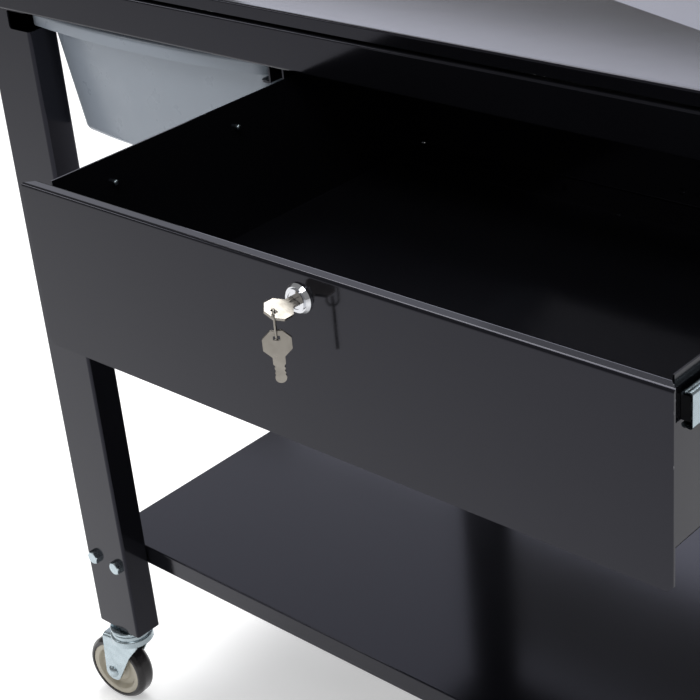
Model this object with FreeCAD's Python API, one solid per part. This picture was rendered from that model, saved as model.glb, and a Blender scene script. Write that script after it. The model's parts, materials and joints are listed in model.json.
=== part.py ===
import FreeCAD, Part

import math
import os

# Rolling tool cart: a sheet-steel table on four swivel casters, with a sloped drain top,
# a bottom shelf, a lockable drawer on telescopic slides and a plastic tub on rails.
#
# Millimetres. X runs left to right along the front, Y runs from the front to the back, Z is up.
# Everything is drawn with X = 0 at the left face of the left legs, Y = 0 at the front face of
# the front legs and Z = 0 on the floor. At the end the whole cart is moved so that the origin
# is the centre of its footprint. The drawer is drawn partly open.

# ---- driving dimensions ----
LENGTH = 951.0           # over the legs, along X
DEPTH = 635.0            # over the legs, along Y
LEG_WIDTH = 62.0
LEG_DEPTH = 31.0
LEG_WALL = 1.5
LEG_BOTTOM = 105.4       # underside of the legs above the floor
NOTCH_LEFT = 35.0        # the front left leg is notched for the rim of the tub
NOTCH_BOTTOM = 766.0
NOTCH_HEIGHT = 17.0
TOP_HEIGHT = 830.0       # upper edge of the table top

SHEET = 1.6              # aprons, hangers and top
THIN_SHEET = 1.2         # shelf and drawer

APRON_BOTTOM = 783.4
APRON_TOP = 816.5
APRON_FLANGE = 10.4
APRON_UPPER_FLANGE = 14.4

TOP_EDGE_HEIGHT = 10.6   # height of the down-turned edge of the top
TOP_FOLD_INSET = 5.0     # fold line, in from the edge
TOP_FALL = 15.0          # how far the top falls to the drain
DRAIN_X = 194.4
DRAIN_HALF = 35.0        # half the flat square round the drain hole
DRAIN_HOLE_RADIUS = 14.0

SHELF_TOP = 205.0
SHELF_EDGE = 20.8
SHELF_SIDE_GAP = 5.7
SHELF_BOLT_Z = 192.0
SHELF_BOLT_SPACING = 34.0

DRAWER_LEFT = 363.3      # the drawer front, left edge
DRAWER_WIDTH = 510.4
DRAWER_BOTTOM = 656.3
DRAWER_TOP = 778.2
DRAWER_FACE_CLOSED = -3.6
DRAWER_OPEN = 240.0      # how far open the drawer is drawn
DRAWER_INNER_LENGTH = 396.6
DRAWER_SIDE_INSET = 10.3
DRAWER_FLANGE = 9.7      # folded top edge of the front
DRAWER_LIP = 6.5
FOOT_CHAMFER = 4.2       # lower corners of the front
TRAY_BOTTOM = 669.4
TRAY_TOP = 775.9

SLIDE_Z = 755.2          # centre line of the drawer slides
SLIDE_LENGTH = 400.0
SLIDE_THICKNESS = 10.0
MIDDLE_OPEN = 222.2      # how far out the middle members are drawn
OUTER_HALF = 15.5        # half heights of the three members
MIDDLE_HALF = 10.6
INNER_HALF = 5.8
SLIDE_SHEET = 1.2
NOSE_START = 22.0        # plastic nose of the inner members, behind the drawer's face
NOSE_LENGTH = 7.0
SLIDE_SCREW_LIFT = 1.4   # the drawer's screws sit above the centre line
BALL_RADIUS = 2.1
GROOVE_RADIUS = 2.16
HANGER_DEPTH = 15.0

LOCK_X = DRAWER_LEFT + DRAWER_WIDTH / 2 + 1.2
LOCK_Z = 760.6
LOCK_BARREL = 8.0        # radius of the threaded barrel
LOCK_PLUG = 5.5          # radius of the part that turns
KEY_TURN = 20.0          # how far the key is drawn turned from level, degrees
KEY_HEAD = 17.2          # across the head
KEY_BLADE = 17.0
KEY_THICKNESS = 1.8
KEY_HOLE_EDGE = 4.7      # from the hole's centre to the end of the head
LINK_RADIUS = 3.6       # round ends of the wire link
LINK_HEIGHT = 18.0
LINK_WIRE = 0.65
LINK_YAW = 44.0          # degrees, of the link and the key on it

TUB_LEFT = 43.0          # the rim
TUB_RIGHT = 345.3
TUB_FRONT = 2.4
TUB_LENGTH = 400.0
TUB_TOP = 781.2
TUB_BOTTOM = 666.0
TUB_RIM = 10.0           # width of the rolled rim
TUB_LEDGE = 8.2          # extra width of the rim on the left, where it passes the notched leg
TUB_TAPER = 5.7          # degrees
TUB_WALL = 2.5
TUB_BOW = 9.0            # how far the short sides bow outwards

WHEEL_RADIUS = 38.1
HUB_RADIUS = 31.3
AXLE_RADIUS = 4.0
CASTER_TRAIL = 24.2
CHEEK_INNER = 12.6       # inside of the fork's side plates, from the wheel's middle plane
CHEEK_THICKNESS = 2.5
FORK_SHOULDER = 88.0
CASTER_YAWS = {"front_left": 186.9, "front_right": 171.0, "rear_left": 197.0, "rear_right": 178.0}

RUNNING = 0.05           # radial clearance of a running fit
CAP = 0.2                # assembly gap between parts that only lie side by side

DRAWER_FACE = DRAWER_FACE_CLOSED - DRAWER_OPEN
DRAWER_RIGHT = DRAWER_LEFT + DRAWER_WIDTH
TRAY_LEFT = DRAWER_LEFT + DRAWER_SIDE_INSET
TRAY_RIGHT = DRAWER_RIGHT - DRAWER_SIDE_INSET
TRAY_REAR = DRAWER_FACE + 1.5 + DRAWER_INNER_LENGTH
HANGER_LEFT_FACE = TRAY_LEFT - SLIDE_THICKNESS
HANGER_RIGHT_FACE = TRAY_RIGHT + SLIDE_THICKNESS
HANGER_BOTTOM = 728.0
INNER_SCREW_Z = SLIDE_Z + SLIDE_SCREW_LIFT
BALL_X = HANGER_LEFT_FACE + 5.4
KEY_HEAD_Y = DRAWER_FACE - 17.8
KEY_HOLE_Y = KEY_HEAD_Y - KEY_HEAD / 2 + KEY_HOLE_EDGE
LINK_X = LOCK_X + LINK_RADIUS * math.sin(math.radians(LINK_YAW))
LINK_Y = KEY_HOLE_Y - LINK_RADIUS * math.cos(math.radians(LINK_YAW))
LINK_TOP_Z = LOCK_Z + LINK_RADIUS - 0.35
LINK_LOW_Z = LINK_TOP_Z - LINK_HEIGHT
TUB_RAIL_Z = TUB_TOP - 15.0
DRAIN_Y = DEPTH / 2
NUT_FLATS = 13.0         # M8 hexagon, across flats
M8_RADIUS = 4.0
BOLT_HEAD = 5.3          # height of the bolt heads


# ---- geometry helpers ----
def vec(x, y, z):
    return FreeCAD.Vector(x, y, z)


def box(x, y, z):
    """A box from three (low, high) pairs."""
    return Part.makeBox(x[1] - x[0], y[1] - y[0], z[1] - z[0], vec(x[0], y[0], z[0]))


def cylinder(radius, start, axis, length):
    return Part.makeCylinder(radius, length, vec(*start), vec(*axis))


def fuse(pieces):
    return pieces[0].multiFuse(pieces[1:]).removeSplitter()


def place(axis, u, v, along):
    """Point (u, v) of a section that is swept along an axis."""
    return {"x": vec(along, u, v), "y": vec(u, along, v), "z": vec(u, v, along)}[axis]


def prism(axis, points, start, end):
    """Sweep an outline of (u, v, corner radius) points straight along an axis."""
    corners = [FreeCAD.Vector(u, v, 0) for u, v, _ in points]
    stops = []
    for i, (_, _, radius) in enumerate(points):
        here = corners[i]
        before = (corners[i - 1] - here).normalize()
        after = (corners[(i + 1) % len(points)] - here).normalize()
        if radius == 0:
            stops.append((here, None, here))
            continue
        half = before.getAngle(after) / 2
        reach = radius / math.tan(half)
        inward = (before + after).normalize()
        middle = here + inward * (radius / math.sin(half) - radius)
        stops.append((here + before * reach, middle, here + after * reach))
    edges = []
    for i, (first, middle, last) in enumerate(stops):
        if middle is not None:
            arc = [place(axis, p.x, p.y, start) for p in (first, middle, last)]
            edges.append(Part.Arc(*arc).toShape())
        following = stops[(i + 1) % len(stops)][0]
        if (following - last).Length > 1e-6:
            line = [place(axis, p.x, p.y, start) for p in (last, following)]
            edges.append(Part.makeLine(*line))
    face = Part.Face(Part.Wire(edges))
    return face.extrude(place(axis, 0, 0, end - start))


def folded(axis, path, thickness, bend, start, end):
    """Sheet metal: a path of (u, v) points on the outer face, the sheet lying to its left."""
    outer = [FreeCAD.Vector(u, v, 0) for u, v in path]
    inner = []
    turns = [0]
    for i, point in enumerate(outer):
        sides = []
        if i > 0:
            sides.append((point - outer[i - 1]).normalize())
        if i < len(outer) - 1:
            sides.append((outer[i + 1] - point).normalize())
        normals = [FreeCAD.Vector(-s.y, s.x, 0) for s in sides]
        if len(sides) == 1:
            inner.append(point + normals[0] * thickness)
            continue
        bisector = (normals[0] + normals[1]).normalize()
        inner.append(point + bisector * (thickness / bisector.dot(normals[0])))
        turns.append(math.copysign(1, sides[0].cross(sides[1]).z))
    turns.append(0)
    points = [(p.x, p.y, corner_radius(t, bend, thickness)) for p, t in zip(outer, turns)]
    back = [(p.x, p.y, corner_radius(-t, bend, thickness)) for p, t in zip(inner, turns)]
    return prism(axis, points + back[::-1], start, end)


def corner_radius(turn, bend, thickness):
    if turn == 0:
        return 0
    return bend + thickness if turn > 0 else bend


def rounded_box(x, y, z, radius):
    """A box with rounded upright corners."""
    outline = [(x[0], y[0], radius), (x[1], y[0], radius), (x[1], y[1], radius), (x[0], y[1], radius)]
    return prism("z", outline, z[0], z[1])


def hexagon(flats, centre, axis, start, end, turn=15):
    """A hexagonal bar along Y or Z."""
    size = flats / math.sqrt(3)
    points = []
    for i in range(6):
        angle = math.radians(60 * i + turn)
        points.append((centre[0] + size * math.cos(angle), centre[1] + size * math.sin(angle), 0))
    return prism(axis, points, start, end)


def mirrored(shape, axis, plane):
    """Mirror a shape in the plane X = plane or Y = plane."""
    base = vec(plane, 0, 0) if axis == "x" else vec(0, plane, 0)
    normal = vec(1, 0, 0) if axis == "x" else vec(0, 1, 0)
    return shape.mirror(base, normal)


def left_to_right(shape):
    return mirrored(shape, "x", LENGTH / 2)


def front_to_rear(shape):
    return mirrored(shape, "y", DEPTH / 2)


def at_four_legs(shape):
    """The same piece at every leg, from the one at the front left."""
    front = [shape, left_to_right(shape)]
    return front + [front_to_rear(s) for s in front]


def slide_mirror(shape):
    """From the left side of the drawer to its right side."""
    return mirrored(shape, "x", (DRAWER_LEFT + DRAWER_RIGHT) / 2)


# ---- frame ----
def leg(notched):
    def outline(inset, radius):
        x = (inset, LEG_WIDTH - inset)
        y = (inset, LEG_DEPTH - inset)
        return rounded_box(x, y, (LEG_BOTTOM, APRON_TOP - SHEET), radius)

    tube = outline(0, 3.0).cut(outline(LEG_WALL, 1.5))
    for x in shelf_bolt_places():
        tube = tube.cut(cylinder(M8_RADIUS + CAP, (x, -1, SHELF_BOLT_Z), (0, 1, 0), LEG_DEPTH + 2))
    if notched:
        right = LEG_WIDTH + 5
        z = (NOTCH_BOTTOM, NOTCH_BOTTOM + NOTCH_HEIGHT)
        notch = [(NOTCH_LEFT, z[0], 3), (right, z[0], 0), (right, z[1], 0), (NOTCH_LEFT, z[1], 2)]
        tube = tube.cut(prism("y", notch, -1, LEG_DEPTH + 1))
    return tube


def shelf_bolt_places():
    half = SHELF_BOLT_SPACING / 2
    return [LEG_WIDTH / 2 - half, LEG_WIDTH / 2 + half]


def foot_plate():
    inset = LEG_WALL + CAP
    x = (inset, LEG_WIDTH - inset)
    y = (inset, LEG_DEPTH - inset)
    plate = rounded_box(x, y, (LEG_BOTTOM, LEG_BOTTOM + 4), 1.0)
    centre = (LEG_WIDTH / 2, LEG_DEPTH / 2)
    nut = hexagon(19.0, centre, "z", LEG_BOTTOM + 4, LEG_BOTTOM + 14)
    hole = cylinder(6.0, (centre[0], centre[1], LEG_BOTTOM - 1), (0, 0, 1), 20)
    return fuse([plate, nut]).cut(hole)


def leg_spaces():
    space = box((0, LEG_WIDTH), (0, LEG_DEPTH), (LEG_BOTTOM, APRON_TOP - SHEET))
    return at_four_legs(space)


def apron(axis, start, end):
    """A channel with its web just outside the legs and its flanges turned inwards."""
    path = [
        (APRON_UPPER_FLANGE, APRON_TOP),
        (-SHEET, APRON_TOP),
        (-SHEET, APRON_BOTTOM),
        (APRON_FLANGE, APRON_BOTTOM),
    ]
    skirt = folded(axis, path, SHEET, 0.8, start, end)
    for space in leg_spaces():
        skirt = skirt.cut(space)
    return skirt


def apron_front():
    return largest(apron("x", -SHEET, LENGTH + SHEET))


def apron_left(front):
    return largest(apron("y", 0, DEPTH).cut(front).cut(front_to_rear(front)))


def largest(shape):
    return max(shape.Solids, key=lambda s: s.Volume)


def frustum(z_high, grow, drop):
    """The space above the sloped faces: from the fold line down to the flat round the drain."""
    low = TOP_FOLD_INSET - SHEET - grow
    high_x = LENGTH - low
    high_y = DEPTH - low
    half = DRAIN_HALF + grow
    upper = [(low, low), (high_x, low), (high_x, high_y), (low, high_y)]
    lower = [
        (DRAIN_X - half, DRAIN_Y - half),
        (DRAIN_X + half, DRAIN_Y - half),
        (DRAIN_X + half, DRAIN_Y + half),
        (DRAIN_X - half, DRAIN_Y + half),
    ]
    rings = []
    for ring, z in ((upper, z_high), (lower, z_high - drop)):
        corners = [vec(x, y, z) for x, y in ring]
        rings.append(Part.makePolygon(corners + corners[:1]))
    return Part.makeLoft(rings, True, True)


def table_top():
    outline = (-SHEET, LENGTH + SHEET), (-SHEET, DEPTH + SHEET)
    bottom = TOP_HEIGHT - TOP_EDGE_HEIGHT
    block = rounded_box(*outline, (bottom, TOP_HEIGHT), 3.0)
    rim = [e for e in block.Edges if e.BoundBox.ZMin > TOP_HEIGHT - 0.01]
    block = block.makeFillet(1.8, rim)
    inside = rounded_box((0, LENGTH), (0, DEPTH), (bottom - 1, TOP_HEIGHT - SHEET), 1.4)
    pan = block.cut(inside)
    pan = pan.cut(frustum(TOP_HEIGHT + 0.01, 0, TOP_FALL))
    hopper = frustum(TOP_HEIGHT - SHEET, 0.6, TOP_FALL)
    hopper = hopper.cut(frustum(TOP_HEIGHT + 0.01, 0, TOP_FALL))
    hole = cylinder(DRAIN_HOLE_RADIUS, (DRAIN_X, DRAIN_Y, TOP_HEIGHT - TOP_FALL - 10), (0, 0, 1), 20)
    return fuse([pan, hopper]).cut(hole)


def drain_spout():
    """A short spout that is pressed up through the drain hole and flared over its edge."""
    top = TOP_HEIGHT - TOP_FALL
    flare = cylinder(DRAIN_HOLE_RADIUS + 5, (DRAIN_X, DRAIN_Y, top + 0.02), (0, 0, 1), 1.2)
    tube = cylinder(DRAIN_HOLE_RADIUS, (DRAIN_X, DRAIN_Y, top - 24), (0, 0, 1), 25)
    bore = cylinder(DRAIN_HOLE_RADIUS - 1.5, (DRAIN_X, DRAIN_Y, top - 25), (0, 0, 1), 30)
    return fuse([flare, tube]).cut(bore)


def bottom_shelf():
    x = (SHELF_SIDE_GAP, LENGTH - SHELF_SIDE_GAP)
    y = (LEG_DEPTH + CAP, DEPTH - LEG_DEPTH - CAP)
    z = (SHELF_TOP - SHELF_EDGE, SHELF_TOP)
    block = rounded_box(x, y, z, 1.5)
    rim = [e for e in block.Edges if e.BoundBox.ZMin > SHELF_TOP - 0.01]
    block = block.makeFillet(1.4, rim)
    t = THIN_SHEET
    inside = box((x[0] + t, x[1] - t), (y[0] + t, y[1] - t), (z[0] - 1, SHELF_TOP - t))
    shelf = block.cut(inside)
    for place_x in shelf_bolt_places():
        hole = cylinder(M8_RADIUS + CAP, (place_x, y[0] - 1, SHELF_BOLT_Z), (0, 1, 0), t + 2)
        for copy in at_four_legs(hole):
            shelf = shelf.cut(copy)
    return shelf


def shelf_bolt(x):
    shank = cylinder(M8_RADIUS, (x, -0.2, SHELF_BOLT_Z), (0, 1, 0), LEG_DEPTH + 12)
    head = hexagon(NUT_FLATS, (x, SHELF_BOLT_Z), "y", -BOLT_HEAD, 0)
    tip = vec(x, -BOLT_HEAD, SHELF_BOLT_Z)
    crown = Part.makeCone(NUT_FLATS / 2 - 0.3, NUT_FLATS / 2 + 3.2, 3.5, tip, vec(0, 1, 0))
    barrel = cylinder(NUT_FLATS, (x, 3.5 - BOLT_HEAD, SHELF_BOLT_Z), (0, 1, 0), 2)
    return fuse([head.common(fuse([crown, barrel])), shank])


def shelf_nut(x):
    start = LEG_DEPTH + CAP + THIN_SHEET
    nut = hexagon(NUT_FLATS, (x, SHELF_BOLT_Z), "y", start, start + 6.5, turn=30)
    return nut.cut(cylinder(M8_RADIUS, (x, start - 1, SHELF_BOLT_Z), (0, 1, 0), 10))


def tub_rail_left():
    path = [(52.0, TUB_RAIL_Z - SHEET), (38.0, TUB_RAIL_Z - SHEET), (38.0, APRON_TOP - 6)]
    return folded("y", path[::-1], SHEET, 0.6, LEG_DEPTH, DEPTH - LEG_DEPTH)


def tub_rail_right():
    web = HANGER_LEFT_FACE - HANGER_DEPTH
    top = APRON_TOP - SHEET
    path = [(TUB_RIGHT - 9.0, TUB_RAIL_Z - SHEET), (web, TUB_RAIL_Z - SHEET), (web, top)]
    rail = folded("y", path, SHEET, 0.6, APRON_FLANGE, DEPTH - APRON_FLANGE)
    tip = (TUB_RIGHT - 9.0, APRON_FLANGE)
    corner = box((tip[0] - 1, tip[0] + 5), (tip[1] - 1, tip[1] + 5), (TUB_RAIL_Z - 5, TUB_RAIL_Z + 1))
    corner = corner.cut(cylinder(5, (tip[0] + 5, tip[1] + 5, TUB_RAIL_Z - 6), (0, 0, 1), 10))
    return rail.cut(corner)


def drawer_hanger_left():
    face = HANGER_LEFT_FACE
    top = APRON_TOP - SHEET
    back = face - HANGER_DEPTH
    path = [(back, HANGER_BOTTOM), (face, HANGER_BOTTOM), (face, top), (back, top)]
    hanger = folded("y", path, SHEET, 0.8, APRON_FLANGE, DEPTH - APRON_FLANGE)
    return hanger.cut(slide_screw_holes(face - 4, 8))


def slide_screw_holes(x, length):
    holes = []
    for y in slide_screw_places():
        holes.append(cylinder(2.1, (x, y, SLIDE_Z), (1, 0, 0), length))
    return Part.makeCompound(holes)


def slide_screw_places():
    return [outer_start() + 37, outer_start() + 37 + 128, outer_start() + 37 + 320]


def outer_start():
    return DRAWER_FACE_CLOSED + 2.6


# ---- drawer slides, drawn for the left side of the drawer ----
def channel(web, tip, half, start, end):
    """A C-shaped member: its web outside at X = web, its flanges reaching to X = tip."""
    lip = 2.3
    side = math.copysign(1, tip - web)
    path = [
        (tip, SLIDE_Z - half + lip),
        (tip, SLIDE_Z - half),
        (web, SLIDE_Z - half),
        (web, SLIDE_Z + half),
        (tip, SLIDE_Z + half),
        (tip, SLIDE_Z + half - lip),
    ]
    return folded("y", path[::-1] if side > 0 else path, SLIDE_SHEET, 0.4, start, end)


def track_height(row):
    """How far a row of balls runs above and below the slide's centre line."""
    outside, inside = (OUTER_HALF, MIDDLE_HALF) if row == "outer" else (MIDDLE_HALF, INNER_HALF)
    return (outside - SLIDE_SHEET + inside) / 2


def grooved(member, rows, start, end):
    """Cut the ball tracks into a member."""
    for row in rows:
        for side in (-1, 1):
            z = SLIDE_Z + side * track_height(row)
            track = cylinder(GROOVE_RADIUS, (BALL_X, start - 1, z), (0, 1, 0), end - start + 2)
            member = member.cut(track)
    return member


def slide_outer():
    start = outer_start()
    member = channel(HANGER_LEFT_FACE, HANGER_LEFT_FACE + 8.2, OUTER_HALF, start, start + SLIDE_LENGTH)
    member = grooved(member, ["outer"], start, start + SLIDE_LENGTH)
    return member.cut(slide_screw_holes(HANGER_LEFT_FACE - 1, 4))


def slide_outer_screw(y):
    """Countersunk screw through the outer member into the hanger."""
    face = HANGER_LEFT_FACE + SLIDE_SHEET
    shank = cylinder(2.0, (face - 8, y, SLIDE_Z), (1, 0, 0), 8)
    head = Part.makeCone(3.6, 3.4, 0.2, vec(face, y, SLIDE_Z), vec(1, 0, 0))
    return fuse([shank, head])


def slide_middle():
    start = outer_start() - MIDDLE_OPEN
    web = HANGER_LEFT_FACE + 1.7
    member = channel(web, HANGER_LEFT_FACE + 8.4, MIDDLE_HALF, start, start + SLIDE_LENGTH)
    return grooved(member, ["outer", "inner"], start, start + SLIDE_LENGTH)


def slide_bumper():
    """Black plastic nose on the front end of the inner member. It fills the mouth of the middle one."""
    half = MIDDLE_HALF - SLIDE_SHEET - 2.0
    x = (HANGER_LEFT_FACE + 3.4, TRAY_LEFT - CAP)
    z = (SLIDE_Z - half, SLIDE_Z + half)
    outline = [(x[0], z[0], 1.2), (x[1], z[0], 0), (x[1], z[1], 0), (x[0], z[1], 1.2)]
    return prism("y", outline, DRAWER_FACE + NOSE_START, DRAWER_FACE + NOSE_START + NOSE_LENGTH)


def slide_inner():
    start = DRAWER_FACE + NOSE_START + NOSE_LENGTH
    end = DRAWER_FACE + SLIDE_LENGTH - 4
    member = channel(TRAY_LEFT, HANGER_LEFT_FACE + 3.9, INNER_HALF, start, end)
    member = grooved(member, ["inner"], start, end)
    for y in inner_screw_places():
        member = member.cut(cylinder(2.1, (TRAY_LEFT - 3, y, INNER_SCREW_Z), (1, 0, 0), 5))
    return member


def inner_screw_places():
    return [DRAWER_FACE + 68.0, DRAWER_FACE + 188.6]


def slide_inner_screw(y):
    """Screw from inside the inner member, whose rounded end stands out in the drawer."""
    head_face = TRAY_LEFT - SLIDE_SHEET
    tip = TRAY_LEFT + THIN_SHEET + 4.0
    head = cylinder(2.9, (head_face - 1.2, y, INNER_SCREW_Z), (1, 0, 0), 1.2)
    shank = cylinder(2.0, (head_face - 1.2, y, INNER_SCREW_Z), (1, 0, 0), tip - head_face + 1.2)
    end = [e for e in shank.Edges if e.BoundBox.XMin > tip - 0.01]
    return fuse([head, shank.makeFillet(1.2, end)])


def ball_cage(row, centre):
    """Two strips that space the balls of one row, above and below, with the balls in them."""
    pieces = []
    for side in (-1, 1):
        z = SLIDE_Z + side * track_height(row)
        strip = box((BALL_X - 2.3, BALL_X + 2.3), (centre - 60, centre + 60), (z - 0.45, z + 0.45))
        for i in range(5):
            y = centre - 50 + 25 * i
            strip = strip.cut(cylinder(BALL_RADIUS + RUNNING, (BALL_X, y, z - 2), (0, 0, 1), 4))
            pieces.append(Part.makeSphere(BALL_RADIUS, vec(BALL_X, y, z)))
        pieces.append(strip)
    return pieces


def outer_cages():
    centre = outer_start() + SLIDE_LENGTH / 2 - MIDDLE_OPEN / 2
    return ball_cage("outer", centre)


def inner_cages():
    middle_centre = outer_start() + SLIDE_LENGTH / 2 - MIDDLE_OPEN
    return ball_cage("inner", middle_centre - (DRAWER_OPEN - MIDDLE_OPEN) / 2)


# ---- drawer ----
def drawer_tray():
    x = (TRAY_LEFT, TRAY_RIGHT)
    path = [(x[0], TRAY_TOP), (x[0], TRAY_BOTTOM), (x[1], TRAY_BOTTOM), (x[1], TRAY_TOP)]
    tray = folded("y", path, THIN_SHEET, 1.2, DRAWER_FACE + 1.5, TRAY_REAR)
    for y in inner_screw_places():
        hole = cylinder(2.1, (x[0] - 1, y, INNER_SCREW_Z), (1, 0, 0), 4)
        tray = tray.cut(hole).cut(slide_mirror(hole))
    under_flange = (DRAWER_FACE + 1, DRAWER_FACE + DRAWER_FLANGE + 7)
    return tray.cut(box((x[0] - 1, x[1] + 1), under_flange, (DRAWER_TOP - DRAWER_LIP - 0.6, DRAWER_TOP)))


def drawer_back():
    low = TRAY_BOTTOM + THIN_SHEET
    side = TRAY_LEFT + THIN_SHEET + CAP
    other_side = DRAWER_LEFT + DRAWER_RIGHT - side
    path = [(TRAY_REAR - 40, low), (TRAY_REAR, low), (TRAY_REAR, TRAY_TOP), (TRAY_REAR - 9, TRAY_TOP)]
    back = folded("x", path, THIN_SHEET, 1.0, side, other_side)
    for x in (side, other_side):
        back = back.cut(box((x - 1.6, x + 1.6), (TRAY_REAR - 41, TRAY_REAR + 1), (low - 1, low + 1.6)))
    centre = (DRAWER_LEFT + DRAWER_RIGHT) / 2
    for i in range(-2, 3):
        x = centre + 9 + 108.5 * i
        wall = Part.makeSphere(9, vec(x, TRAY_REAR - THIN_SHEET - 8.6, low + 11))
        flange = Part.makeSphere(9, vec(x, TRAY_REAR - 22, low + THIN_SHEET + 8.6))
        back = back.cut(wall).cut(flange)
    return back


def drawer_front():
    x = (DRAWER_LEFT, DRAWER_RIGHT)
    y = DRAWER_FACE
    path = [
        (y + DRAWER_FLANGE, DRAWER_TOP - DRAWER_LIP),
        (y + DRAWER_FLANGE, DRAWER_TOP),
        (y, DRAWER_TOP),
        (y, DRAWER_BOTTOM),
    ]
    front = folded("x", path, 1.5, 0.7, x[0], x[1])
    near = y + 1.6
    far = y + DRAWER_FLANGE + 1
    for end, out in zip(x, (-1, 1)):
        inner = end - out * (far - near)
        mitre = [(end, near, 0), (inner, far, 0), (end + out, far, 0), (end + out, near, 0)]
        foot = [
            (end, DRAWER_BOTTOM + FOOT_CHAMFER, 0),
            (end - out * FOOT_CHAMFER, DRAWER_BOTTOM, 0),
            (end + out, DRAWER_BOTTOM - 1, 0),
        ]
        front = front.cut(prism("z", mitre, DRAWER_TOP - 9, DRAWER_TOP + 1))
        front = front.cut(prism("y", foot, y - 1, y + 3))
    return front.cut(cylinder(LOCK_BARREL, (LOCK_X, y - 1, LOCK_Z), (0, 1, 0), 4))


# ---- lock and keys ----
def lock_rod(radius, start, end):
    """A round bar on the lock's axis; start and end are measured from the drawer's face."""
    return cylinder(radius, (LOCK_X, DRAWER_FACE + start, LOCK_Z), (0, 1, 0), end - start)


def lock_body():
    base = vec(LOCK_X, DRAWER_FACE - 3.4, LOCK_Z)
    bezel = Part.makeCone(8.3, 9.8, 2.4, base, vec(0, 1, 0))
    pieces = [bezel, lock_rod(9.8, -1.0, 0), lock_rod(7.4, -4.6, -3.4), lock_rod(LOCK_BARREL, 0, 16)]
    return fuse(pieces).cut(lock_rod(LOCK_PLUG + RUNNING, -6, 24))


def lock_nut():
    start = DRAWER_FACE + 1.5
    nut = hexagon(20.0, (LOCK_X, LOCK_Z), "y", start, start + 4)
    return nut.cut(lock_rod(LOCK_BARREL, -1, 8))


def turned(shape):
    """Turn about the lock's axis to the key's drawn position."""
    shape = shape.copy()
    shape.rotate(vec(LOCK_X, 0, LOCK_Z), vec(0, 1, 0), KEY_TURN)
    return shape


def lock_tail(gap, start, end):
    """Square end of the plug, or the hole for it."""
    half = 3 + gap
    y = DRAWER_FACE
    return box((LOCK_X - half, LOCK_X + half), (y + start, y + end), (LOCK_Z - half, LOCK_Z + half))


def lock_plug():
    """The part that turns with the key, with the keyway across its face."""
    y = DRAWER_FACE
    keyway = box((LOCK_X - 4.0, LOCK_X + 4.0), (y - 6, y + 14), (LOCK_Z - 1.1, LOCK_Z + 1.1))
    plug = fuse([lock_rod(LOCK_PLUG, -4.2, 16.4), lock_tail(0, 16, 19.4)])
    return turned(plug.cut(keyway).cut(lock_rod(2.0, 14.5, 22)))


def lock_cam():
    """Flat arm behind the plug. It points sideways while the drawer is unlocked, and up when locked."""
    y = DRAWER_FACE + 16.5
    tip = LOCK_X + 29
    back = LOCK_X - 7
    arm = [(back, LOCK_Z - 7, 3), (tip, LOCK_Z - 5, 3), (tip, LOCK_Z + 5, 3), (back, LOCK_Z + 7, 3)]
    return turned(prism("y", arm, y, y + 2.0).cut(lock_tail(0, 16, 19)))


def cam_screw():
    centre = vec(LOCK_X, DRAWER_FACE + 15.8, LOCK_Z)
    head = Part.makeSphere(6.5, centre).common(lock_rod(5.2, 19.4, 24))
    return fuse([lock_rod(2.0, 14.5, 19.6), head])


def key_blank():
    """Flat key in the XY plane: the head's centre at the origin, the blade along +Y."""
    half = KEY_HEAD / 2
    cut = half * 0.42
    low = -KEY_THICKNESS / 2
    head = [(-half, -cut, 0.5), (-cut, -half, 0.5), (cut, -half, 0.5), (half, -cut, 0.5)]
    head += [(-u, -v, r) for u, v, r in head]
    right = [(3.7, half - 1, 0), (3.7, half + 4.5, 0.5)]
    for i in range(3):
        notch_y = half + 6.0 + 3.0 * i
        right += [(2.5, notch_y, 0.4), (3.3, notch_y + 1.4, 0.4)]
    right += [(2.3, half + KEY_BLADE - 2.4, 0)]
    left = [(-u, v, r) for u, v, r in right[::-1]]
    tip = cylinder(3.4, (0, half + KEY_BLADE - 3.4, low), (0, 0, 1), KEY_THICKNESS)
    key = fuse([prism("z", head, low, -low), prism("z", right + left, low, -low), tip])
    hole_y = KEY_HOLE_EDGE - half
    hole = rounded_box((-2.1, 2.1), (hole_y - 1.5, hole_y + 1.5), (-2, 2), 0.6)
    groove = box((-0.7, 0.7), (half + 0.5, half + KEY_BLADE - 2), (-low - 0.35, 1))
    return key.cut(hole).cut(groove)


def key_in_lock():
    key = key_blank()
    key.translate(vec(LOCK_X, KEY_HEAD_Y, LOCK_Z))
    return turned(key)


def key_link():
    """Long closed wire link, upright, round the end of one key's head and through both holes."""
    high = LINK_TOP_Z - LINK_RADIUS
    low = LINK_LOW_Z + LINK_RADIUS
    pieces = []
    for side in (-1, 1):
        y = side * LINK_RADIUS
        pieces.append(cylinder(LINK_WIRE, (0, y, low), (0, 0, 1), high - low))
        z = high if side > 0 else low
        section = Part.Face(Part.Wire(Part.makeCircle(LINK_WIRE, vec(0, y, z), vec(0, 0, 1))))
        pieces.append(section.revolve(vec(0, 0, z), vec(1, 0, 0), 180))
    return hung(fuse(pieces))


def hung(shape):
    """Turn a shape to the link's yaw and move it from Z to the link's own upright axis."""
    shape.rotate(vec(0, 0, 0), vec(0, 0, 1), LINK_YAW)
    shape.translate(vec(LINK_X, LINK_Y, 0))
    return shape


def spare_key():
    """Hangs from the lowest point of the link, blade down."""
    key = key_blank()
    key.rotate(vec(0, 0, 0), vec(1, 0, 0), -90)
    hole_top = KEY_HEAD / 2 - KEY_HOLE_EDGE + 1.5
    key.translate(vec(0, 0, LINK_LOW_Z + LINK_WIRE + 1.0 - hole_top))
    return hung(key)


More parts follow.
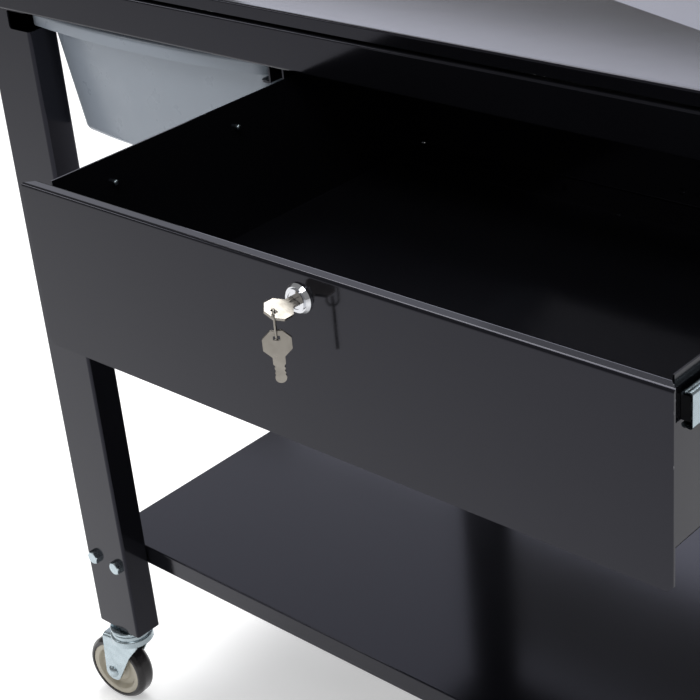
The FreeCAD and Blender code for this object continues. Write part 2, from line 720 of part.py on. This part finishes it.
# ---- tub ----
def tub_ring(inset, ledge, corner, z):
    """Plan outline of the tub, its short sides bowed outwards, with rounded corners."""
    bow = TUB_BOW
    x = (TUB_LEFT + ledge + inset, TUB_RIGHT - inset)
    y = (TUB_FRONT + inset, TUB_FRONT + TUB_LENGTH - inset)
    reach = corner * (1 - math.sqrt(0.5))
    middle = (x[0] + x[1]) / 2
    front = [(x[0] + corner, y[0] + bow), (middle, y[0]), (x[1] - corner, y[0] + bow)]
    rear = [(px, y[0] + y[1] - py) for px, py in front[::-1]]
    corner_y = (y[0] + bow + corner, y[1] - bow - corner)
    edges = []

    def arc(a, b, c):
        edges.append(Part.Arc(vec(*a, z), vec(*b, z), vec(*c, z)).toShape())

    def line(a, b):
        edges.append(Part.makeLine(vec(*a, z), vec(*b, z)))

    arc(*front)
    arc(front[2], (x[1] - reach, y[0] + bow + reach), (x[1], corner_y[0]))
    line((x[1], corner_y[0]), (x[1], corner_y[1]))
    arc((x[1], corner_y[1]), (x[1] - reach, y[1] - bow - reach), rear[0])
    arc(*rear)
    arc(rear[2], (x[0] + reach, y[1] - bow - reach), (x[0], corner_y[1]))
    line((x[0], corner_y[1]), (x[0], corner_y[0]))
    arc((x[0], corner_y[0]), (x[0] + reach, y[0] + bow + reach), front[0])
    return Part.Wire(edges)


def tub_core(inset, corner, low, high):
    """Tapered solid of the tub between two heights."""
    slope = math.tan(math.radians(TUB_TAPER))
    rings = []
    for z in (high, low):
        rings.append(tub_ring(inset + (TUB_TOP - z) * slope, TUB_LEDGE, corner, z))
    return Part.makeLoft(rings, True, True)


def tub():
    outer = tub_core(TUB_RIM, 12.0, TUB_BOTTOM, TUB_TOP)
    floor = [e for e in outer.Edges if e.BoundBox.ZMax < TUB_BOTTOM + 0.01]
    outer = outer.makeFillet(9.0, floor)
    inner = tub_core(TUB_RIM + TUB_WALL, 9.5, TUB_BOTTOM + TUB_WALL, TUB_TOP)
    floor = [e for e in inner.Edges if e.BoundBox.ZMax < TUB_BOTTOM + TUB_WALL + 0.01]
    inner = inner.makeFillet(6.5, floor)
    top = tub_prism(0, TUB_TOP - 12.5, TUB_TOP)
    crest = [e for e in top.Edges if e.BoundBox.ZMin > TUB_TOP - 0.01]
    top = top.makeFillet(4.0, crest)
    rolled = top.cut(tub_prism(2.2, TUB_TOP - 13, TUB_TOP - 2.4))
    shell = fuse([outer, rolled])
    mouth = tub_core(TUB_RIM + TUB_WALL, 9.5, TUB_TOP - 3, TUB_TOP + 3)
    return shell.cut(inner).cut(mouth)


def tub_prism(inset, low, high):
    face = Part.Face(tub_ring(inset, 0, 20.0 - inset, low))
    return face.extrude(vec(0, 0, high - low))


# ---- casters, drawn with the swivel axis on Z and the wheel trailing along +X ----
def caster_stem():
    """Threaded stem with its collar and upper race; its lower end is the pivot of the fork."""
    thread = cylinder(6.0, (0, 0, 99), (0, 0, 1), 22)
    collar = hexagon(17.0, (0, 0), "z", 102.6, LEG_BOTTOM)
    race = cylinder(22.0, (0, 0, 98.9), (0, 0, 1), 3.7)
    edges = [e for e in race.Edges if e.BoundBox.ZMin > 102.5 or e.BoundBox.ZMax < 99.0]
    race = race.makeFillet(1.4, edges)
    pivot = cylinder(5.0, (0, 0, 93.5), (0, 0, 1), 6)
    head = cylinder(8.5, (0, 0, 92.0), (0, 0, 1), 3.3)
    return fuse([thread, collar, race, pivot, head])


def fork():
    """Bent bracket with a shoulder over the wheel, under the round race of the swivel."""
    outside = CHEEK_INNER + CHEEK_THICKNESS
    path = [(outside, 20), (outside, FORK_SHOULDER), (-outside, FORK_SHOULDER), (-outside, 20)]
    bracket = folded("x", path, CHEEK_THICKNESS, 2.0, -30, 40)
    bracket = bracket.common(prism("y", fork_side(), -20, 20))
    under = FORK_SHOULDER - CHEEK_THICKNESS
    races = [bracket]
    for radius, top in ((23.0, 93.2), (21.0, 98.7)):
        race = cylinder(radius, (0, 0, under), (0, 0, 1), top - under)
        races.append(race.makeFillet(2.2, [e for e in race.Edges if e.BoundBox.ZMin > top - 0.1]))
    crown = fuse(races)
    crown = crown.cut(cylinder(12.0, (0, 0, 80.0), (0, 0, 1), 15.7))
    crown = crown.cut(cylinder(5.0 + RUNNING, (0, 0, 80), (0, 0, 1), 25))
    return crown.cut(cylinder(AXLE_RADIUS, (CASTER_TRAIL, -20, WHEEL_RADIUS), (0, 1, 0), 40))


def fork_side():
    """Side outline: wide at the shoulder, round at the axle, with a hollow leading edge."""
    axle_x, axle_z = (CASTER_TRAIL, WHEEL_RADIUS)
    end = 10.5
    return [
        (-17.5, FORK_SHOULDER + 1, 0),
        (-17.5, 83.0, 5),
        (-4.0, 66.0, 40),
        (17.5, axle_z - end, 9),
        (axle_x + end, axle_z - end, end - 1),
        (30.0, FORK_SHOULDER + 1, 0),
    ]


def axle():
    """Riveted axle with a domed head at both ends."""
    outside = CHEEK_INNER + CHEEK_THICKNESS
    pin = cylinder(AXLE_RADIUS, (CASTER_TRAIL, -outside, WHEEL_RADIUS), (0, 1, 0), 2 * outside)
    pieces = [pin]
    for side in (-1, 1):
        head = Part.makeSphere(8.6, vec(CASTER_TRAIL, side * (outside - 4.6), WHEEL_RADIUS))
        start = outside if side > 0 else -outside - 5
        pieces.append(head.common(cylinder(7.0, (CASTER_TRAIL, start, WHEEL_RADIUS), (0, 1, 0), 5)))
    return fuse(pieces)


def revolve_wheel(points):
    """Turn a section of (radius, Y, corner radius) points about the axle."""
    flat = prism("x", [(y, r, c) for r, y, c in points], 0, 1)
    face = min(flat.Faces, key=lambda f: f.BoundBox.XMax)
    turned_shape = face.revolve(vec(0, 0, 0), vec(0, 1, 0), 360)
    turned_shape.translate(vec(CASTER_TRAIL, 0, WHEEL_RADIUS))
    return turned_shape


def both_sides(half):
    """Complete a wheel section that is given for +Y, from its bore outwards."""
    return half + [(r, -y, c) for r, y, c in half[::-1]]


def hub():
    half = [
        (AXLE_RADIUS + RUNNING, 11.4, 0.4),
        (8.5, 11.4, 1.0),
        (10.0, 7.4, 1.0),
        (15.0, 6.2, 1.0),
        (17.0, 4.6, 1.0),
        (22.5, 4.2, 1.4),
        (25.6, 9.8, 1.4),
        (HUB_RADIUS, 10.3, 0.8),
    ]
    return revolve_wheel(both_sides(half))


def tyre():
    half = [(HUB_RADIUS, 10.9, 0.5), (34.2, 11.4, 3.4), (WHEEL_RADIUS, 6.5, 6.0)]
    return revolve_wheel(both_sides(half))


def caster_place(corner, shape, yaw=None):
    """Turn a caster piece to its yaw and move it under its leg."""
    shape = shape.copy()
    if yaw is not None:
        shape.rotate(vec(0, 0, 0), vec(0, 0, 1), yaw)
    x = LEG_WIDTH / 2 if "left" in corner else LENGTH - LEG_WIDTH / 2
    y = LEG_DEPTH / 2 if "front" in corner else DEPTH - LEG_DEPTH / 2
    shape.translate(vec(x, y, 0))
    return shape


# ---- assembly ----
def frame_nodes():
    front = apron_front()
    left = apron_left(front)
    plain_leg = leg(False)
    hanger = drawer_hanger_left()
    screws = [slide_outer_screw(y) for y in slide_screw_places()]
    bolts = [b for x in shelf_bolt_places() for b in at_four_legs(shelf_bolt(x))]
    nuts = [n for x in shelf_bolt_places() for n in at_four_legs(shelf_nut(x))]
    return {
        "table_top": [table_top()],
        "drain_spout": [drain_spout()],
        "apron_front": [front],
        "apron_rear": [front_to_rear(front)],
        "apron_left": [left],
        "apron_right": [left_to_right(left)],
        "leg_front_left": [leg(True)],
        "leg_front_right": [left_to_right(plain_leg)],
        "leg_rear_left": [front_to_rear(plain_leg)],
        "leg_rear_right": [front_to_rear(left_to_right(plain_leg))],
        "foot_plates": at_four_legs(foot_plate()),
        "bottom_shelf": [bottom_shelf()],
        "shelf_bolts": bolts,
        "shelf_nuts": nuts,
        "tub_rail_left": [tub_rail_left()],
        "tub_rail_right": [tub_rail_right()],
        "drawer_hanger_left": [hanger],
        "drawer_hanger_right": [slide_mirror(hanger)],
        "slide_outer_left": [slide_outer()],
        "slide_outer_right": [slide_mirror(slide_outer())],
        "slide_outer_screws": screws + [slide_mirror(s) for s in screws],
    }


def drawer_nodes():
    screws = [slide_inner_screw(y) for y in inner_screw_places()]
    outer = outer_cages()
    inner = inner_cages()
    return {
        "slide_middle_left": [slide_middle()],
        "slide_middle_right": [slide_mirror(slide_middle())],
        "slide_bumpers": [slide_bumper(), slide_mirror(slide_bumper())],
        "outer_ball_cages": outer + [slide_mirror(s) for s in outer],
        "inner_ball_cages": inner + [slide_mirror(s) for s in inner],
        "slide_inner_left": [slide_inner()],
        "slide_inner_right": [slide_mirror(slide_inner())],
        "slide_inner_screws": screws + [slide_mirror(s) for s in screws],
        "drawer_tray": [drawer_tray()],
        "drawer_back": [drawer_back()],
        "drawer_front": [drawer_front()],
        "lock_body": [lock_body()],
        "lock_nut": [lock_nut()],
        "lock_plug": [lock_plug()],
        "lock_cam": [lock_cam()],
        "cam_screw": [cam_screw()],
        "key_in_lock": [key_in_lock()],
        "key_link": [key_link()],
        "spare_key": [spare_key()],
    }


def caster_nodes():
    nodes = {"caster_stems": [caster_place(corner, caster_stem()) for corner in CASTER_YAWS]}
    for corner, yaw in CASTER_YAWS.items():
        for name, piece in (("fork", fork), ("axle", axle), ("hub", hub), ("tyre", tyre)):
            nodes[f"{name}_{corner}"] = [caster_place(corner, piece(), yaw)]
    return nodes


def cart_nodes():
    nodes = {**frame_nodes(), **drawer_nodes(), "tub": [tub()], **caster_nodes()}
    return {name: Part.makeCompound(s) if len(s) > 1 else s[0] for name, s in nodes.items()}


def cart_centre(nodes):
    """Centre of the whole cart's footprint."""
    bounds = FreeCAD.BoundBox()
    for shape in nodes.values():
        bounds.add(shape.optimalBoundingBox(False))
    return vec(bounds.Center.x, bounds.Center.y, 0)


cart = cart_nodes()
ORIGIN = cart_centre(cart)
os.makedirs("parts", exist_ok=True)
for node, node_shape in cart.items():
    node_shape.translate(ORIGIN * -1)
    node_shape.exportStep(f"parts/{node}.step")
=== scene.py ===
import json
import math

import bpy
from mathutils import Matrix, Vector


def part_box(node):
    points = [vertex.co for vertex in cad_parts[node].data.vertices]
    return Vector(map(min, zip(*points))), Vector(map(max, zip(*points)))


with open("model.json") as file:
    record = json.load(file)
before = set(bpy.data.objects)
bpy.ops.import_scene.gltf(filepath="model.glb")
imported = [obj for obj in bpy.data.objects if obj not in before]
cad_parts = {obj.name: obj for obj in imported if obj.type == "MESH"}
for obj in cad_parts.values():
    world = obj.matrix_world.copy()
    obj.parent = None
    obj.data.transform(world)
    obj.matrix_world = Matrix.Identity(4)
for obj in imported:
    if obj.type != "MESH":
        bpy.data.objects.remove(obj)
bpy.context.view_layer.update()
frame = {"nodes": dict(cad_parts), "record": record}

# Lengths are metres in the CAD model's frame: x along the front, y to the back, z up from the floor.
MM = 0.001

# ---- camera: measured from the lower front left corner of the front left leg ----
CAMERA_FROM_LEG = Vector((1.26777, -0.86272, 1.09331))
CAMERA_TURN = Vector((1.9827, 0.7021, -0.5373))      # world to camera, as axis times angle
CAMERA_LENS = 88.02                                  # millimetres, on a 36 mm sensor


def make_camera():
    data = bpy.data.cameras.new("camera")
    data.lens = CAMERA_LENS
    data.sensor_width = 36
    data.clip_start = 0.05
    data.clip_end = 100
    camera = bpy.data.objects.new("camera", data)
    bpy.context.scene.collection.objects.link(camera)
    turn = Matrix.Rotation(CAMERA_TURN.length, 3, CAMERA_TURN.normalized())
    rotation = turn.transposed() @ Matrix.Diagonal((1, -1, -1))
    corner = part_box("leg_front_left")[0]
    camera.matrix_world = Matrix.Translation(corner + CAMERA_FROM_LEG) @ rotation.to_4x4()
    bpy.context.scene.camera = camera


# ---- surroundings ----
FLOOR_HALF = 20
FLOOR_PALE = (0.90, 0.90, 0.90)
FLOOR_WHITE = (0.93, 0.93, 0.93)
FLOOR_GLOW = 0.42            # keeps the floor white beyond the softboxes' reach
SKY_STRENGTH = 0.28
PANEL_Y = 2.11               # plane of the panels behind the cart, which its paint mirrors
COOL_WHITE = (0.84, 0.86, 1.0)


def make_floor():
    mesh = bpy.data.meshes.new("floor")
    half = FLOOR_HALF
    corners = [(-half, -half, 0), (half, -half, 0), (half, half, 0), (-half, half, 0)]
    mesh.from_pydata(corners, [], [(0, 1, 2, 3)])
    floor = bpy.data.objects.new("floor", mesh)
    bpy.context.scene.collection.objects.link(floor)
    surface = Surface("floor_white")
    surface.set("Base Color", surface.between(surface.noise(3), FLOOR_PALE, FLOOR_WHITE))
    surface.set("Roughness", 0.9)
    surface.set("Emission Color", (1.0, 1.0, 1.0))
    surface.set("Emission Strength", FLOOR_GLOW)
    floor.data.materials.append(surface.material)


def make_softbox(name, place, target, size, power, colour=(1, 1, 1)):
    """Rectangular light at one place, aimed at another. Size is in metres and power in watts."""
    data = bpy.data.lights.new(name, "AREA")
    data.shape = "RECTANGLE"
    data.size, data.size_y = size
    data.energy = power
    data.color = colour
    light = bpy.data.objects.new(name, data)
    bpy.context.scene.collection.objects.link(light)
    away = Vector(place) - Vector(target)
    light.location = place
    light.rotation_mode = "QUATERNION"
    light.rotation_quaternion = away.to_track_quat("Z", "Y")
    light.visible_camera = False


def make_panel(name, x, z, radiance):
    """Upright softbox behind the cart, given by its edges along x and z and its brightness."""
    size = (x[1] - x[0], z[1] - z[0])
    place = ((x[0] + x[1]) / 2, PANEL_Y, (z[0] + z[1]) / 2)
    make_softbox(name, place, (place[0], 0, place[2]), size,
                 radiance * math.pi * size[0] * size[1], COOL_WHITE)


def make_sky(strength):
    world = bpy.data.worlds.new("studio")
    world.use_nodes = True
    background = world.node_tree.nodes["Background"]
    background.inputs["Color"].default_value = (1, 1, 1, 1)
    background.inputs["Strength"].default_value = strength
    bpy.context.scene.world = world


# ---- materials ----
class Surface:
    """A procedural material with one Principled shader, in object coordinates (metres)."""

    def __init__(self, name):
        self.material = bpy.data.materials.new(name)
        self.material.use_nodes = True
        self.nodes = self.material.node_tree.nodes
        self.links = self.material.node_tree.links
        self.shader = self.nodes["Principled BSDF"]
        self.place = self.add("ShaderNodeTexCoord").outputs["Object"]

    def add(self, kind, **settings):
        node = self.nodes.new(kind)
        for key, value in settings.items():
            setattr(node, key, value)
        return node

    def feed(self, socket, value):
        """Link an output, or set a plain number or colour."""
        if isinstance(value, bpy.types.NodeSocket):
            self.links.new(value, socket)
        elif isinstance(value, tuple) and len(value) == 3 and socket.type == "RGBA":
            socket.default_value = (*value, 1)
        else:
            socket.default_value = value

    def set(self, name, value):
        self.feed(self.shader.inputs[name], value)

    def math(self, operation, a, b=0.0):
        node = self.add("ShaderNodeMath", operation=operation)
        self.feed(node.inputs[0], a)
        self.feed(node.inputs[1], b)
        return node.outputs[0]

    def noise(self, scale, detail=2.0, stretch=(1, 1, 1), distortion=0.0, seed=(0, 0, 0)):
        mapping = self.add("ShaderNodeMapping")
        self.feed(mapping.inputs["Vector"], self.place)
        mapping.inputs["Scale"].default_value = stretch
        mapping.inputs["Location"].default_value = seed
        node = self.add("ShaderNodeTexNoise")
        self.feed(node.inputs["Vector"], mapping.outputs["Vector"])
        node.inputs["Scale"].default_value = scale
        node.inputs["Detail"].default_value = detail
        node.inputs["Distortion"].default_value = distortion
        return node.outputs["Fac"]

    def step(self, value, low, high, to_low=0.0, to_high=1.0):
        """Clamped ramp from one range to another."""
        node = self.add("ShaderNodeMapRange")
        for name, given in zip(("Value", "From Min", "From Max", "To Min", "To Max"),
                               (value, low, high, to_low, to_high)):
            self.feed(node.inputs[name], given)
        return node.outputs["Result"]

    def between(self, factor, first, second):
        node = self.add("ShaderNodeMix", data_type="RGBA")
        self.feed(node.inputs[0], factor)
        self.feed(node.inputs[6], first)
        self.feed(node.inputs[7], second)
        return node.outputs[2]

    def bump(self, height, depth, under=None):
        node = self.add("ShaderNodeBump")
        node.inputs["Strength"].default_value = 1
        node.inputs["Distance"].default_value = depth
        self.feed(node.inputs["Height"], height)
        if under is not None:
            self.feed(node.inputs["Normal"], under)
        self.set("Normal", node.outputs["Normal"])
        return node.outputs["Normal"]

    def edges(self, width, low, high):
        """1 along the mesh's convex and concave edges, 0 elsewhere."""
        bevel = self.add("ShaderNodeBevel", samples=4)
        bevel.inputs["Radius"].default_value = width
        flat = self.add("ShaderNodeNewGeometry").outputs["Normal"]
        dot = self.add("ShaderNodeVectorMath", operation="DOT_PRODUCT")
        self.feed(dot.inputs[0], bevel.outputs["Normal"])
        self.feed(dot.inputs[1], flat)
        return self.step(dot.outputs["Value"], high, low)


def black_paint(name, tint, gloss):
    """Glossy powder coat: fine orange peel, and chips down to the steel on sharp edges."""
    s = Surface(name)
    clouds = s.noise(7, 2)
    colour = s.between(clouds, tuple(0.8 * c for c in tint), tuple(1.25 * c for c in tint))
    chips = s.math("MULTIPLY", s.edges(0.9 * MM, 0.80, 0.97), s.step(s.noise(260, 4), 0.60, 0.66))
    chips = s.math("MULTIPLY", chips, s.step(s.noise(14, 2, seed=(3, 1, 5)), 0.54, 0.64))
    s.set("Base Color", s.between(chips, colour, (0.34, 0.35, 0.36)))
    s.set("Metallic", chips)
    haze = s.step(s.noise(5, 2), 0.3, 0.7, gloss, gloss + 0.02)
    s.set("Roughness", s.math("ADD", haze, s.math("MULTIPLY", chips, 0.3)))
    s.set("Specular IOR Level", 0.30)
    s.set("Specular Tint", (0.80, 0.80, 1.0))
    peel = s.bump(s.noise(380, 2), 0.006 * MM)
    s.bump(s.noise(45, 1), 0.012 * MM, peel)
    return s.material


def plated(name, dull, bright, roughness, grain):
    """Zinc or nickel plating with a fine grain and soft stains."""
    s = Surface(name)
    stains = s.noise(70, 4, distortion=0.6)
    s.set("Base Color", s.between(stains, dull, bright))
    s.set("Metallic", 1.0)
    s.set("Roughness", s.step(s.noise(160, 3), 0.3, 0.7, roughness * 0.75, roughness * 1.3))
    s.bump(s.noise(grain, 2, stretch=(1, 0.15, 1)), 0.01 * MM)
    return s.material


def plastic(name, dark, light, roughness, grain, depth):
    """Moulded plastic, with uneven colour and a fine texture of the given depth."""
    s = Surface(name)
    s.set("Base Color", s.between(s.noise(12, 4), dark, light))
    s.set("Roughness", s.step(s.noise(45, 4), 0.3, 0.7, roughness * 0.85, roughness * 1.2))
    s.bump(s.noise(grain, 3), depth)
    return s.material


def tyre_rubber():
    """Dark, slightly shiny tread material."""
    s = Surface("tyre_rubber")
    s.set("Base Color", s.between(s.noise(40, 4), (0.007, 0.006, 0.007), (0.016, 0.013, 0.015)))
    s.set("Roughness", s.step(s.noise(90, 3), 0.3, 0.7, 0.20, 0.30))
    s.bump(s.noise(700, 2), 0.02 * MM)
    return s.material


def make_materials():
    """One material for each material slot of the record."""
    return {
        "frame_paint": black_paint("frame_paint", (0.0055, 0.0056, 0.0072), 0.11),
        "drawer_paint": black_paint("drawer_paint", (0.0050, 0.0051, 0.0066), 0.10),
        "zinc_plate": plated("zinc_plate", (0.30, 0.36, 0.39), (0.52, 0.60, 0.64), 0.26, 900),
        "slide_steel": plated("slide_steel", (0.28, 0.34, 0.38), (0.47, 0.56, 0.61), 0.24, 900),
        "chrome": plated("chrome", (0.62, 0.63, 0.66), (0.76, 0.77, 0.80), 0.08, 500),
        "nickel": plated("nickel", (0.22, 0.205, 0.18), (0.38, 0.355, 0.32), 0.34, 700),
        "black_plastic": plastic("black_plastic", (0.006, 0.006, 0.007), (0.012, 0.012, 0.014),
                                 0.42, 500, 0.02 * MM),
        "grey_plastic": plastic("grey_plastic", (0.25, 0.285, 0.335), (0.29, 0.33, 0.385),
                                0.30, 350, 0.015 * MM),
        "hub_plastic": plastic("hub_plastic", (0.40, 0.365, 0.285), (0.52, 0.48, 0.39),
                               0.36, 500, 0.02 * MM),
        "tyre": tyre_rubber(),
    }


def paint_nodes():
    """Give every CAD node the material of its slot in the record."""
    materials = make_materials()
    for part in frame["record"]["subparts"]:
        data = frame["nodes"][part["node"]].data
        data.materials.clear()
        data.materials.append(materials[part["material_slot"]])


make_camera()
make_floor()
make_sky(SKY_STRENGTH)
make_softbox("softbox_rear", (-0.9, 0.8, 2.9), (-0.6, 0.5, 0.0), (1.9, 1.9), 75)
make_softbox("softbox_front", (0.6, -1.3, 2.6), (0.3, -0.9, 0.0), (0.9, 0.9), 14)
make_softbox("strip_front_left", (-1.9, -1.4, 1.9), (-0.1, -0.1, 0.7), (0.9, 0.35), 5)
make_panel("panel_table", (-2.6, -0.95), (1.48, 1.94), 2.2)
make_panel("panel_rear_left", (-4.2, -1.78), (2.0, 3.1), 0.85)
make_panel("panel_rear", (-1.76, -0.95), (2.4, 2.62), 0.6)
bpy.context.scene.view_settings.view_transform = "Standard"
paint_nodes()
